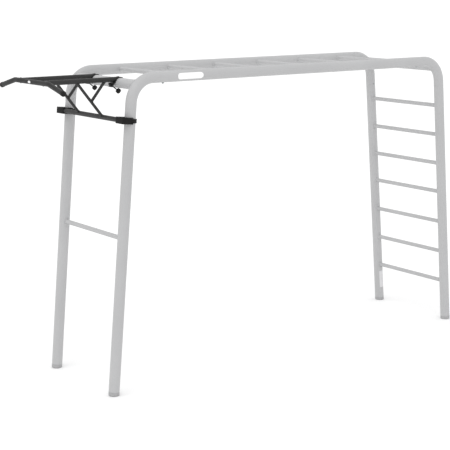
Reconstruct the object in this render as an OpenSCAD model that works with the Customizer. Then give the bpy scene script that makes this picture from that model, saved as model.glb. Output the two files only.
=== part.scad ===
// Monkey bars with a hook-on pull-up bar.
// Two tube arches stand side by side. Six rungs cross between their beams, a
// ladder of seven rungs joins the right-hand legs, and one bar joins the left-hand
// legs. The pull-up bar hooks over the left cross tube, bears on the left legs
// through two strapped blocks, and is locked by two clamp screws.
// X runs along the beams, Y across them, Z up. The origin is on the ground, at the
// middle of the whole object's length and width.

/* [Frame] */
// Distance between the leg axes, measured up at the beams
beam_span = 2890; // [2000:10:3600]
// Height of the beam axes above the ground
beam_height = 2160; // [2105:5:2600]
// Distance between the planes of the two arches
frame_width = 790; // [640:5:1100]
// Angle that each leg leans outwards
leg_lean = 5; // [3:0.5:8]
// Outer diameter of the beams, bends and legs
tube_d = 76.1; // [63:0.1:92]
// Wall of the beams, bends and legs
tube_wall = 2; // [1.5:0.5:4]
// Radius of the corner bends, at the tube's axis
bend_r = 175; // [140:5:240]
// Straight length at each end of a corner bend
bend_tail = 40; // [20:1:60]
// Diameter of the cross tubes that join the corner bends
cross_d = 70; // [50:1:72]

/* [Tube joints] */
// Length of a joint sleeve beyond the seam
sleeve_reach = 100; // [80:5:140]
// Wall of a joint sleeve
sleeve_wall = 3; // [2:0.5:4]
// Distance from a seam to its bolt
bolt_offset = 40; // [30:1:60]
// Thread diameter of the frame bolts
bolt_d = 8; // [6:1:10]

/* [Feet] */
// Height of a foot cap's collar below the leg tube
cap_collar = 30; // [24:1:50]
// Rounding of a foot cap's lower edge
cap_round = 10; // [6:1:22]
// Depth of a foot cap's plug inside the leg
cap_plug = 40; // [20:1:60]

/* [Rungs] */
// Diameter of every rung
rung_d = 32; // [25:1:40]
// Wall of every rung
rung_wall = 2; // [1.5:0.5:3]
// Distance between the top rungs
top_rung_pitch = 424; // [330:2:440]
// Height of the ladder's highest rung
ladder_top = 1798.5; // [1700:0.5:1850]
// Distance between the ladder's four upper rungs
upper_pitch = 237; // [200:1:245]
// Distance between the ladder's lower rungs
lower_pitch = 253; // [200:1:300]

/* [Pull-up bar] */
// Distance from the beam span's left end out to the grip bar
bar_reach = 539; // [440:1:700]
// Depth of the grip bar and arms below the beam axes
bar_drop = 21; // [19:0.5:24]
// Diameter of the grip bar, arms and stand-off bar
bar_d = 34; // [28:0.5:38]
// Wall of the grip bar, arms and stand-off bar
bar_wall = 2.5; // [2:0.5:4]
// Distance between the two arms
arm_spacing = 310; // [240:2:360]
// Length of the grip bar's level middle, between its bend points
grip_level = 458; // [400:2:520]
// Overall width of the grip bar, less its end caps
grip_width = 848; // [760:2:960]
// Angle that the grip bar's ends droop
grip_droop = 14; // [6:1:25]
// Radius of the grip bar's two bends
grip_bend_r = 90; // [70:5:150]

/* [Braces] */
// Diameter of the braces and struts
brace_d = 20; // [14:1:22]
// Distance from the beam span's left end out to a brace's upper end
brace_reach = 293; // [240:1:330]
// Height of the stand-off bar's axis above the ground
standoff_height = 1888; // [1850:1:1930]
// Height at which a strut meets its brace
strut_foot_height = 1997; // [1980:1:2020]
// Distance from the beam span's left end out to a strut's upper end
strut_reach = 60; // [55:1:75]

/* [Hooks and clamp screws] */
// Width of a hook's strip
hook_w = 45; // [36:1:60]
// Thickness of a hook's strip
hook_t = 6; // [4:0.5:8]
// Angle of a hook's tip, from level on the side facing the frame
hook_tip = 35; // [10:5:60]
// Angle at which a hook leaves the cross tube and runs straight down
hook_lean = 143; // [138:1:148]
// Diameter of a clamp screw
screw_d = 8; // [6:1:12]
// Diameter of a clamp screw's boss on the hook
boss_d = 22; // [18:1:28]
// Length of a boss
boss_l = 16; // [12:1:24]
// Largest diameter of a hand knob
knob_d = 34; // [30:1:48]
// Thickness of a hand knob
knob_h = 20; // [16:1:26]

/* [Blocks and straps] */
// How far a block stands out past its leg, on each side
block_cheek = 9.95; // [9:0.05:14]
// Height of a block along its leg
block_h = 44; // [40:1:60]
// Thickness of a block beyond the stand-off bar
block_wall = 5; // [3:0.5:10]
// Distance from the leg's axis out to the near ends of a block's horns
block_in = 4; // [3:0.5:5]
// Clear distance between a leg and the stand-off bar
standoff_gap = 8.95; // [6:0.05:14]
// Rounding of a block's upright edges
block_round = 8; // [4:1:9]
// Thickness of a strap
strap_t = 7; // [5:0.5:8]
// Height of a strap along its leg
strap_h = 28; // [20:1:30]
// Diameter of a strap pin
pin_d = 4; // [3:0.5:5]

/* [Hidden] */
$fn = 64;

// Clearances
weld_gap = 0.15;     // between a coped tube end and the tube it is welded to
sleeve_gap = 0.15;   // round a sleeve or plug inside a tube
bolt_gap = 0.3;      // round a bolt in a clearance hole
thread_gap = 0.1;    // round a screw in its thread
run_gap = 0.1;       // round a pin that something turns on
skin_gap = 0.3;      // between curved faces that only bear on each other
slot_gap = 0.5;      // each side of a strap in its slot
eps = 1;             // how far a cutting shape runs past what it cuts

tube_r = tube_d / 2;
tube_ir = tube_r - tube_wall;
cross_r = cross_d / 2;
cross_wall = 2;
seam_edge = 0.8;     // bevel on the ends of the beams and legs
rung_r = rung_d / 2;
bar_r = bar_d / 2;
bar_ir = bar_r - bar_wall;
brace_r = brace_d / 2;
screw_r = screw_d / 2;
half_span = beam_span / 2;
half_width = frame_width / 2;
sink = 2;            // how far a tilted foot is trimmed to leave a level face
colour_frame = [0.74, 0.745, 0.75];
colour_bar = [0.27, 0.27, 0.28];
colour_black = [0.09, 0.09, 0.095];

// Along a leg, measured up its axis from the ground
bend_turn = 90 - leg_lean;
bend_set = bend_r * tan(bend_turn / 2);
leg_corner = beam_height / cos(leg_lean);
leg_seam = leg_corner - bend_set - bend_tail;
leg_tube_foot = cap_collar - sink;
beam_seam = half_span - bend_set - bend_tail;
ground_x = half_span + beam_height * tan(leg_lean);
function leg_x(z) = half_span + (beam_height - z) * tan(leg_lean);

// The cross tubes sit at the middle of the corner bends
cross_x = half_span - bend_set + bend_r * sin(bend_turn / 2);
cross_z = beam_height - bend_r + bend_r * cos(bend_turn / 2);

// Rung heights: the upper rungs are closer together than the lower ones
ladder_z = [for (i = [0 : 6]) ladder_top - min(i, 3) * upper_pitch - max(i - 3, 0) * lower_pitch];
top_rung_x = [for (i = [0 : 5]) (i - 2.5) * top_rung_pitch];

// The pull-up bar, in the frame's own plane coordinates
bar_z = beam_height - bar_drop;
grip_x = -(half_span + bar_reach);
arm_y = arm_spacing / 2;
end_run = (grip_width - grip_level) / 2;
end_drop = end_run * tan(grip_droop);
end_length = end_run / cos(grip_droop);
grip_set = grip_bend_r * tan(grip_droop / 2);
grip_cap_wall = 1.8;
grip_cap_l = 20;
grip_cap_r = bar_r + grip_cap_wall;
block_w = tube_d + 2 * block_cheek;
standoff_out = tube_r + standoff_gap + bar_r;
block_out = standoff_out + bar_r + block_wall;
standoff_along = (standoff_height - standoff_out * sin(leg_lean)) / cos(leg_lean);
standoff_x = -leg_x(0) + standoff_along * sin(leg_lean) - standoff_out * cos(leg_lean);
brace_top = [-(half_span + brace_reach), bar_z];
brace_foot = [standoff_x, standoff_height];
strut_top = [-(half_span + strut_reach), bar_z];
strut_share = (bar_z - strut_foot_height) / (bar_z - standoff_height);
strut_foot = brace_top + (brace_foot - brace_top) * strut_share;

// A hook: its inner face hugs the cross tube, then runs straight down and outwards
hook_ir = cross_r + skin_gap;
hook_or = hook_ir + hook_t;
screw_room = 4;      // between a clamp screw and the cross tube, at the least
screw_tail = 8;      // how far a clamp screw shows behind its boss
arm_gap = 1.42;      // between the arm's lower side and the boss and screw under it
// How far down the hook's leg a round piece clears the arm, if it stands out this far
function clear_down(r, out) =
  r + (sin(hook_lean) * (hook_or + out) - (bar_z - bar_r - cross_z) + arm_gap) / -cos(hook_lean);
screw_down = max(
  cross_r + screw_r + screw_room, clear_down(boss_d / 2, boss_l), clear_down(screw_r, boss_l + screw_tail)
);
hook_leg = screw_down + boss_d / 2 + 3;   // length of the hook's straight leg
// The clamp screw's own axis leaves the hook's leg at a right angle, towards the frame.
// Distances along it are counted from the leg's inner face.
knob_face = hook_ir + sqrt(pow(cross_r + skin_gap, 2) - pow(screw_down - knob_d / 2, 2)) + 0.1;
screw_back = hook_t + boss_l + screw_tail;
screw_tip_gap = 4;                        // knob material beyond the screw's end

// Straps and their pins, about the leg's axis
saddle_r = tube_r + skin_gap;
strap_ir = tube_r + 0.6;
strap_or = strap_ir + strap_t;
knuckle_r = 4;
horn_room = 2;       // between a knuckle and the end of its horn or slot
band_short = 1.5;    // degrees by which the band stops short of its pins
pin_out = block_in + knuckle_r + horn_room;
pin_side = block_w / 2 - knuckle_r;
strap_swing = norm([pin_out, pin_side]) + saddle_r;   // what passes the leg as a strap opens
fork_gap = 0.6;
slot_reach = pin_out + knuckle_r + horn_room;
strap_sweep = 180 - atan(pin_side / pin_out) - band_short;

// The whole object's length runs from the grip bar's end caps to the right-hand feet
length_left = grip_x - grip_cap_r;
length_right = ground_x + tube_r * cos(leg_lean) - (cap_round - sink) * sin(leg_lean);
mid_x = (length_left + length_right) / 2;

// Moves a piece from the beams' own middle to the object's origin
module placed() {
  translate([-mid_x, 0, 0]) children();
}

// A round tube up Z from the origin. edge is the bevel on the outer rim of both ends.
module pipe(outer, inner, length, edge = 0) {
  rotate_extrude() difference() {
    polygon([
      [0, 0], [outer - edge, 0], [outer, edge],
      [outer, length - edge], [outer - edge, length], [0, length]
    ]);
    translate([-eps, -eps]) square([inner + eps, length + 2 * eps]);
  }
}

// A bent round bar in the XZ plane. The bend starts on the X axis and turns up from it,
// with straight tails of the given lengths before and after it.
module bent_bar(radius, r, angle, before, after) {
  lap = 0.5;
  rotate([90, 0, 0]) {
    rotate_extrude(angle = angle) translate([radius, 0]) circle(r = r);
    translate([radius, lap, 0]) rotate([90, 0, 0]) cylinder(r = r, h = before + lap);
    rotate([0, 0, angle]) translate([radius, -lap, 0]) rotate([-90, 0, 0]) cylinder(r = r, h = after + lap);
  }
}

module bent_pipe(radius, outer, inner, angle, before, after) {
  difference() {
    bent_bar(radius, outer, angle, before, after);
    bent_bar(radius, inner, angle, before + eps, after + eps);
  }
}

// Puts children on a leg's axis: up it from the ground, with X level across the lean.
// end is -1 for the left-hand legs and 1 for the right-hand ones, arch is -1 for the
// front and 1 for the back.
module on_leg(end, arch) {
  translate([end * ground_x, arch * half_width, 0]) rotate([0, -end * leg_lean, 0]) children();
}

// A solid of the whole corner bend and leg, for coping what is welded to it
module leg_body(end, arch, gap) {
  on_leg(end, arch) cylinder(r = tube_r + gap, h = leg_corner - bend_set);
}
module bend_body(end, arch, gap) {
  translate([end * (half_span - bend_set), arch * half_width, beam_height - bend_r])
    rotate([0, end > 0 ? -leg_lean : -90, 0])
    rotate([90, 0, 0]) rotate_extrude(angle = bend_turn) translate([bend_r, 0]) circle(r = tube_r + gap);
}

module beam(arch) {
  color(colour_frame) difference() {
    translate([-beam_seam, arch * half_width, beam_height]) rotate([0, 90, 0])
      pipe(tube_r, tube_ir, 2 * beam_seam, seam_edge);
    for (end = [-1, 1]) translate([end * (beam_seam - bolt_offset), arch * half_width, beam_height])
      rotate([180, 0, 0]) cylinder(r = bolt_d / 2 + bolt_gap, h = tube_r + eps);
  }
}

module corner_bend(end, arch) {
  color(colour_frame) translate([end * (half_span - bend_set), arch * half_width, beam_height - bend_r])
    rotate([0, end > 0 ? -leg_lean : -90, 0])
    bent_pipe(bend_r, tube_r, tube_ir, bend_turn, bend_tail, bend_tail);
}

module leg(end, arch) {
  color(colour_frame) on_leg(end, arch) difference() {
    translate([0, 0, leg_tube_foot]) pipe(tube_r, tube_ir, leg_seam - leg_tube_foot, seam_edge);
    translate([0, 0, leg_seam - bolt_offset]) rotate([arch * 90, 0, 0])
      cylinder(r = bolt_d / 2 + bolt_gap, h = tube_r + eps);
  }
}

// A solid round plug with a collar, rounded below and trimmed level with the ground
module foot_cap(end, arch) {
  color(colour_frame) intersection() {
    on_leg(end, arch) translate([0, 0, -sink]) {
      rotate_extrude() difference() {
        union() {
          square([tube_r - cap_round, cap_collar]);
          translate([0, cap_round]) square([tube_r, cap_collar - cap_round]);
          translate([tube_r - cap_round, cap_round]) circle(r = cap_round);
        }
        translate([-2 * tube_r, -eps]) square([2 * tube_r, cap_collar + 2 * eps]);
      }
      translate([0, 0, cap_collar]) cylinder(r = tube_ir - sleeve_gap, h = cap_plug);
    }
    translate([end * ground_x - tube_d, arch * half_width - tube_d, 0])
      cube([2 * tube_d, 2 * tube_d, 2 * tube_d]);
  }
}

module cross_tube(end) {
  color(colour_frame) difference() {
    translate([end * cross_x, half_width, cross_z]) rotate([90, 0, 0])
      pipe(cross_r, cross_r - cross_wall, frame_width);
    for (arch = [-1, 1]) bend_body(end, arch, weld_gap);
  }
}

// A round bar between the two arches
module bar_across(x, z) {
  translate([x, half_width, z]) rotate([90, 0, 0]) pipe(rung_r, rung_r - rung_wall, frame_width);
}

module top_rung(i) {
  color(colour_frame) difference() {
    bar_across(top_rung_x[i], beam_height);
    for (arch = [-1, 1]) translate([top_rung_x[i] - rung_d, arch * half_width, beam_height])
      rotate([0, 90, 0]) cylinder(r = tube_r + weld_gap, h = 2 * rung_d);
  }
}

module leg_rung(end, z) {
  color(colour_frame) difference() {
    bar_across(end * leg_x(z), z);
    for (arch = [-1, 1]) leg_body(end, arch, weld_gap);
  }
}

// Places children at each leg's seam and at each beam's seam, with Z running out of
// the tube's end into the bend and the bolt on the -X side
module at_leg_seams() {
  for (end = [-1, 1], arch = [-1, 1]) on_leg(end, arch) translate([0, 0, leg_seam])
    rotate([0, 0, arch * 90]) children();
}
module at_beam_seams() {
  for (end = [-1, 1], arch = [-1, 1]) translate([end * beam_seam, arch * half_width, beam_height])
    rotate([0, 0, end > 0 ? 0 : 180]) rotate([0, 90, 0]) rotate([0, 0, 180]) children();
}

module joint_sleeve() {
  short = 2;         // how far a sleeve stops short of the bend
  difference() {
    translate([0, 0, -sleeve_reach])
      pipe(tube_ir - sleeve_gap, tube_ir - sleeve_gap - sleeve_wall, sleeve_reach + bend_tail - short);
    translate([0, 0, -bolt_offset]) rotate([0, -90, 0]) cylinder(r = bolt_d / 2 + bolt_gap, h = tube_r);
  }
}

bolt_head_h = 4.4;
bolt_head_r = bolt_d * 0.875;
bolt_l = 16;
module joint_bolt() {
  translate([-tube_r - thread_gap, 0, -bolt_offset]) rotate([0, 90, 0]) difference() {
    union() {
      translate([0, 0, -bolt_head_h]) cylinder(r = bolt_head_r, h = bolt_head_h);
      cylinder(r = bolt_d / 2, h = bolt_l);
    }
    translate([0, 0, -bolt_head_h - eps]) cylinder(d = bolt_d * 0.72, h = 2.5 + eps, $fn = 6);
  }
}

nut_h = 6.5;
nut_corner_r = 7.5;
module joint_nut() {
  bore_r = tube_ir - sleeve_gap - sleeve_wall;
  seat = sqrt(pow(bore_r, 2) - pow(nut_corner_r, 2)) - 0.1;
  translate([-seat, 0, -bolt_offset]) rotate([0, 90, 0]) difference() {
    cylinder(r = nut_corner_r, h = nut_h, $fn = 6);
    translate([0, 0, -eps]) cylinder(r = bolt_d / 2 + thread_gap, h = nut_h + 2 * eps);
  }
}

module beam_sleeves() {
  color("silver") at_beam_seams() joint_sleeve();
}
module leg_sleeves() {
  color("silver") at_leg_seams() joint_sleeve();
}
module frame_bolts() {
  color("gainsboro") {
    at_beam_seams() joint_bolt();
    at_leg_seams() joint_bolt();
  }
}
module frame_nuts() {
  color("gainsboro") {
    at_beam_seams() joint_nut();
    at_leg_seams() joint_nut();
  }
}

// Puts children at the end of the grip bar's drooping part, with Z pointing out of it
module at_grip_end(arch) {
  translate([grip_x, arch * (grip_level / 2 + end_run), bar_z - end_drop])
    rotate([-arch * (90 + grip_droop), 0, 0]) children();
}

module grip_bar() {
  color(colour_bar) translate([grip_x, 0, bar_z]) rotate([90, 0, 90]) difference() {
    grip_solid(bar_r, 0);
    grip_solid(bar_ir, eps);
  }
}

// The bar's round solid: level along X, drooping at both ends, with its middle at the
// origin. past lengthens both ends. The bends are drawn down a little, as bending does.
module grip_solid(r, past) {
  lap = 0.5;
  drawn = 0.05;
  straight = grip_level / 2 - grip_set;
  translate([-straight - lap, 0, 0]) rotate([0, 90, 0]) cylinder(r = r, h = 2 * (straight + lap));
  for (side = [0, 1]) mirror([side, 0, 0]) translate([straight, -grip_bend_r, 0]) {
    rotate([0, 0, 90 - grip_droop]) {
      rotate_extrude(angle = grip_droop) translate([grip_bend_r, 0]) circle(r = r - drawn);
      translate([grip_bend_r, lap, 0]) rotate([90, 0, 0])
        cylinder(r = r, h = end_length - grip_set + past + lap);
    }
  }
}

// A cap over the grip bar's end, flat outside with a rounded rim
module grip_cap(arch) {
  rim = 3;
  sleeve_r = bar_r + sleeve_gap;
  color(colour_black) at_grip_end(arch) difference() {
    union() {
      translate([0, 0, -grip_cap_l + rim]) cylinder(r = grip_cap_r, h = grip_cap_l - rim);
      cylinder(r1 = grip_cap_r, r2 = grip_cap_r - rim, h = rim);
    }
    translate([0, 0, -grip_cap_l]) cylinder(r = sleeve_r, h = grip_cap_l);
  }
}

// A plain oval badge laid on the grip bar's outer side
module grip_badge() {
  badge_l = 32;
  badge_h = 16;
  badge_t = 1.2;
  color("white") intersection() {
    translate([grip_x, badge_l, bar_z]) rotate([90, 0, 0])
      pipe(bar_r + weld_gap + badge_t, bar_r + weld_gap, 2 * badge_l);
    translate([grip_x, 0, bar_z]) rotate([0, -90, 0]) linear_extrude(height = bar_d) {
      square([badge_h, badge_l - badge_h], center = true);
      for (side = [-1, 1]) translate([0, side * (badge_l - badge_h) / 2]) circle(d = badge_h);
    }
  }
}

// Moves children to the cross tube's axis, in the plane of one arm
module at_hook(arch) {
  translate([-cross_x, arch * arm_y, cross_z]) children();
}

// A bent strip: an arc over the tube, then a straight leg
module hook(arch) {
  inset = 0.05;      // the leg's skin lies this far inside the arc's
  color(colour_bar) at_hook(arch) rotate([0, -hook_lean, 0]) difference() {
    union() {
      rotate([90, 0, 0]) rotate([0, 0, hook_tip - hook_lean]) rotate_extrude(angle = hook_lean - hook_tip)
        translate([hook_ir, -hook_w / 2]) square([hook_t, hook_w]);
      translate([hook_ir + inset, -hook_w / 2, -1]) cube([hook_t - 2 * inset, hook_w, hook_leg + 1]);
    }
    translate([hook_ir - eps, 0, screw_down]) rotate([0, 90, 0])
      cylinder(r = screw_r + bolt_gap, h = hook_t + 2 * eps);
  }
}

// From the cross tube's axis to the clamp screw's: Z runs along the screw towards its
// knob, from the inner face of the hook's leg
module on_screw_axis() {
  rotate([0, -hook_lean, 0]) translate([hook_ir, 0, screw_down]) rotate([0, -90, 0]) children();
}

module screw_bosses() {
  color(colour_bar) for (arch = [-1, 1]) at_hook(arch) on_screw_axis()
    translate([0, 0, -hook_t - boss_l]) pipe(boss_d / 2, screw_r + thread_gap, boss_l);
}

// An arm runs from the grip bar to its hook, coped at both ends
module arm(arch) {
  color(colour_bar) difference() {
    translate([grip_x, arch * arm_y, bar_z]) rotate([0, 90, 0])
      pipe(bar_r, bar_ir, -cross_x - grip_x);
    translate([grip_x, arch * arm_y + bar_d, bar_z]) rotate([90, 0, 0])
      cylinder(r = bar_r + weld_gap, h = 2 * bar_d);
    at_hook(arch) {
      translate([0, bar_d, 0]) rotate([90, 0, 0]) cylinder(r = hook_or + weld_gap, h = 2 * bar_d);
      rotate([0, -hook_lean, 0]) translate([0, -bar_d, 0]) cube([hook_or + weld_gap / 3, 2 * bar_d, 2 * bar_d]);
    }
  }
}

// A solid round bar from one point to another in the plane of an arm
module bar_between(from, to, r, arch) {
  run = to - from;
  translate([from[0], arch * arm_y, from[1]]) rotate([0, atan2(run[0], run[1]), 0])
    cylinder(r = r, h = norm(run));
}

module arm_body(arch, gap) {
  translate([grip_x, arch * arm_y, bar_z]) rotate([0, 90, 0])
    cylinder(r = bar_r + gap, h = -cross_x - grip_x);
}

module brace(arch) {
  color(colour_bar) difference() {
    bar_between(brace_top, brace_foot, brace_r, arch);
    arm_body(arch, weld_gap);
    translate([standoff_x, arch * arm_y + bar_d, standoff_height]) rotate([90, 0, 0])
      cylinder(r = bar_r + weld_gap, h = 2 * bar_d);
  }
}

module strut(arch) {
  color(colour_bar) difference() {
    bar_between(strut_foot, strut_top, brace_r, arch);
    arm_body(arch, weld_gap);
    bar_between(brace_top, brace_foot, brace_r + weld_gap, arch);
  }
}

bar_bury = 30;       // how far the stand-off bar runs past a leg's plane inside its block
module standoff_bar() {
  half = half_width + bar_bury;
  color(colour_bar) translate([standoff_x, half, standoff_height]) rotate([90, 0, 0])
    pipe(bar_r, bar_ir, 2 * half);
}

// Puts children on a left-hand leg's axis at the blocks' height, with X along the
// frame, Y away from the middle and Z up the leg
module at_block(arch) {
  on_leg(-1, arch) translate([0, 0, standoff_along]) mirror([0, arch > 0 ? 0 : 1, 0]) children();
}

pin_cover = 2;       // block left above and below a pin's hole
module block_pins(r, h) {
  for (side = [-1, 1]) translate([-pin_out, side * pin_side, -h / 2]) cylinder(r = r, h = h);
}

module saddle_block(arch) {
  depth = block_out - block_in;
  color(colour_black) at_block(arch) difference() {
    translate([-block_out, -block_w / 2, -block_h / 2]) linear_extrude(height = block_h) {
      translate([block_round, 0]) square([depth - block_round, block_w]);
      translate([0, block_round]) square([depth, block_w - 2 * block_round]);
      for (y = [block_round, block_w - block_round]) translate([block_round, y]) circle(r = block_round);
    }
    translate([0, 0, -block_h]) cylinder(r = saddle_r, h = 2 * block_h);
    // slots for the strap's ends
    for (side = [0, 1]) mirror([0, side, 0])
      translate([-slot_reach, pin_side / 2, -strap_h / 2 - slot_gap])
      cube([slot_reach, block_w, strap_h + 2 * slot_gap]);
    block_pins(pin_d / 2 + run_gap, block_h - 2 * pin_cover);
    // bore for the stand-off bar, open towards the middle
    translate([-standoff_out, bar_bury + slot_gap, 0]) rotate([90, 0, 0])
      cylinder(r = bar_r + sleeve_gap, h = block_w);
  }
}

module strap_pins() {
  color("silver") for (arch = [-1, 1]) at_block(arch) block_pins(pin_d / 2, block_h - 2 * pin_cover - 1);
}

// A band round the leg: a knuckle on the outer pin, and a fork that hooks on the inner
module strap(arch) {
  rim = 0.5;         // how far a knuckle's ends lie inside the band's edges
  color(colour_black) at_block(arch) difference() {
    translate([0, 0, -strap_h / 2]) {
      rotate([0, 0, -strap_sweep]) rotate_extrude(angle = 2 * strap_sweep)
        translate([strap_ir, 0]) square([strap_t, strap_h]);
      for (side = [-1, 1]) translate([-pin_out, side * pin_side, rim])
        cylinder(r = knuckle_r, h = strap_h - 2 * rim);
    }
    translate([-pin_out, pin_side, -strap_h]) cylinder(r = pin_d / 2 + run_gap, h = 2 * strap_h);
    // the far end is relieved where it would foul the leg as the strap swings open
    translate([-pin_out, pin_side, -strap_h]) rotate([0, 0, -atan(pin_side / pin_out)]) intersection() {
      cylinder(r = strap_swing, h = 2 * strap_h);
      translate([pin_side, -pin_side, 0]) cube([block_w, pin_side, 2 * strap_h]);
    }
    translate([-pin_out, -pin_side, -strap_h]) cylinder(r = pin_d / 2 + fork_gap, h = 2 * strap_h);
    translate([-pin_out - 2 * knuckle_r, -pin_side - pin_d / 2 - fork_gap / 2, -strap_h])
      cube([2 * knuckle_r, pin_d + fork_gap, 2 * strap_h]);
  }
}

// A plain round screw, from behind its boss to inside its knob
module clamp_screw(arch) {
  color("dimgray") at_hook(arch) on_screw_axis() translate([0, 0, -screw_back])
    cylinder(r = screw_r, h = screw_back + knob_face + knob_h - screw_tip_gap);
}

// A hand knob with six scallops round its rim
module knob(arch) {
  scallop_r = 7;
  scallop_out = 4.5;   // from the rim out to a scallop's middle
  rim = 3;             // height and depth of the step round the knob's face
  color(colour_black) at_hook(arch) on_screw_axis() translate([0, 0, knob_face]) difference() {
    union() {
      cylinder(r = knob_d / 2, h = knob_h - rim);
      cylinder(r = knob_d / 2 - rim, h = knob_h);
    }
    for (i = [0 : 5]) rotate(60 * i + 30) translate([knob_d / 2 + scallop_out, 0, -eps])
      cylinder(r = scallop_r, h = knob_h + 2 * eps);
    translate([0, 0, -eps]) cylinder(r = screw_r + thread_gap, h = knob_h - screw_tip_gap + eps + 0.5);
  }
}

placed() beam(-1);  // beam_front
placed() beam(1);  // beam_back
placed() corner_bend(-1, -1);  // corner_bend_front_left
placed() corner_bend(1, -1);  // corner_bend_front_right
placed() corner_bend(-1, 1);  // corner_bend_back_left
placed() corner_bend(1, 1);  // corner_bend_back_right
placed() leg(-1, -1);  // leg_front_left
placed() leg(1, -1);  // leg_front_right
placed() leg(-1, 1);  // leg_back_left
placed() leg(1, 1);  // leg_back_right
placed() foot_cap(-1, -1);  // foot_cap_front_left
placed() foot_cap(1, -1);  // foot_cap_front_right
placed() foot_cap(-1, 1);  // foot_cap_back_left
placed() foot_cap(1, 1);  // foot_cap_back_right
placed() cross_tube(-1);  // cross_tube_left
placed() cross_tube(1);  // cross_tube_right
for (i = [0 : 5]) placed() top_rung(i);
for (i = [0 : 6]) placed() leg_rung(1, ladder_z[i]);
placed() leg_rung(-1, ladder_z[3]);  // leg_crossbar
placed() beam_sleeves();
placed() leg_sleeves();
placed() frame_bolts();
placed() frame_nuts();
placed() grip_bar();
placed() grip_cap(-1);  // grip_cap_front
placed() grip_cap(1);  // grip_cap_back
placed() grip_badge();
placed() arm(-1);  // arm_front
placed() arm(1);  // arm_back
placed() hook(-1);  // hook_front
placed() hook(1);  // hook_back
placed() screw_bosses();
placed() brace(-1);  // brace_front
placed() brace(1);  // brace_back
placed() strut(-1);  // strut_front
placed() strut(1);  // strut_back
placed() standoff_bar();
placed() saddle_block(-1);  // saddle_block_front
placed() saddle_block(1);  // saddle_block_back
placed() strap_pins();
placed() strap(-1);  // strap_front
placed() strap(1);  // strap_back
placed() clamp_screw(-1);  // clamp_screw_front
placed() clamp_screw(1);  // clamp_screw_back
placed() knob(-1);  // knob_front
placed() knob(1);  // knob_back
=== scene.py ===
import math
import bpy
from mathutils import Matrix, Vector


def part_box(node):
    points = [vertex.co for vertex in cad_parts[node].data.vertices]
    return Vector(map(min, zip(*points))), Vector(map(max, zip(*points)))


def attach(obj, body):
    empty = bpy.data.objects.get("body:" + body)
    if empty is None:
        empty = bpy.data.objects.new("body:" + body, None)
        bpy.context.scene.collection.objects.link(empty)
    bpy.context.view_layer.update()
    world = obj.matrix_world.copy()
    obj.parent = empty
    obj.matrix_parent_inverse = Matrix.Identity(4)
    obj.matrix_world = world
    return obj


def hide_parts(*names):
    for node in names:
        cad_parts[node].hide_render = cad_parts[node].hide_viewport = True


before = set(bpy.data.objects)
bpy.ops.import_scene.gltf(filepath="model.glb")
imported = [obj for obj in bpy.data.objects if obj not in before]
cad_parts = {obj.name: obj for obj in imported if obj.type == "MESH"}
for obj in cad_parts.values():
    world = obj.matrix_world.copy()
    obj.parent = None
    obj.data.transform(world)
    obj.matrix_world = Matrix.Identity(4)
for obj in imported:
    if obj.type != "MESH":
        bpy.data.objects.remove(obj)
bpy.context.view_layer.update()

# ---------------------------------------------------------------- Camera
# A long lens, well back and a little above the beams, looks down along the
# frame from its left-hand front corner.
CAMERA_AT = (-5.7736, -7.4013, 2.8430)
CAMERA_DOWN = 0.1987  # radians below the level
CAMERA_TURN = -0.6440  # radians round Z, from looking along the frame's short side
bpy.ops.object.camera_add(
    location=CAMERA_AT, rotation=(math.pi / 2 - CAMERA_DOWN, 0, CAMERA_TURN))
camera = bpy.context.object
camera.data.sensor_width = 36
camera.data.lens = 100
camera.data.clip_end = 500
bpy.context.scene.camera = camera

# ---------------------------------------------------------------- Studio
# A white floor under a white sky: soft light from all round, with one broad
# key from above and the left that leaves a faint shadow at each foot.
bpy.context.scene.view_settings.view_transform = "Standard"
sky = bpy.data.worlds.new("white_studio")
sky.use_nodes = True
sky.node_tree.nodes["Background"].inputs["Color"].default_value = (1, 1, 1, 1)
sky.node_tree.nodes["Background"].inputs["Strength"].default_value = 1.0
bpy.context.scene.world = sky

KEY_TURN = (math.radians(28), math.radians(-14), math.radians(-40))
bpy.ops.object.light_add(type="SUN", rotation=KEY_TURN)
key = bpy.context.object
key.name = "key_light"
key.data.energy = 0.55
key.data.angle = math.radians(60)

FLOOR_R = 160  # metres, so that its edge stays far behind the frame in every view
bpy.ops.mesh.primitive_circle_add(
    vertices=96, radius=FLOOR_R, fill_type="NGON", location=(0, 0, 0))
floor = bpy.context.object
floor.name = "studio_floor"


def linear(hex_colour):
    """An sRGB hex colour as linear RGBA."""
    srgb = [int(hex_colour[i:i + 2], 16) / 255 for i in (1, 3, 5)]
    return [v / 12.92 if v <= 0.04045 else ((v + 0.055) / 1.055) ** 2.4 for v in srgb] + [1]


def add_node(material, kind, inputs=None, output=0, **settings):
    """Adds a node with its settings, fills or links its inputs, and returns one output."""
    node = material.node_tree.nodes.new(kind)
    for name, value in settings.items():
        setattr(node, name, value)
    for name, value in (inputs or {}).items():
        if isinstance(value, bpy.types.NodeSocket):
            material.node_tree.links.new(value, node.inputs[name])
        else:
            node.inputs[name].default_value = value
    return node.outputs[output]


def new_material(title, **surface):
    """A material whose Principled surface starts with these values. Returns both."""
    material = bpy.data.materials.new(title)
    material.use_nodes = True
    shader = material.node_tree.nodes["Principled BSDF"]
    for name, value in surface.items():
        shader.inputs[name.replace("_", " ")].default_value = value
    return material, shader


# Painted studio floor: matt white, with no gloss of its own.
floor_paint, shader = new_material(
    "painted_floor", Base_Color=linear("#FBFBFB"), Roughness=1.0, Specular_IOR_Level=0.0)
floor.data.materials.append(floor_paint)

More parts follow.
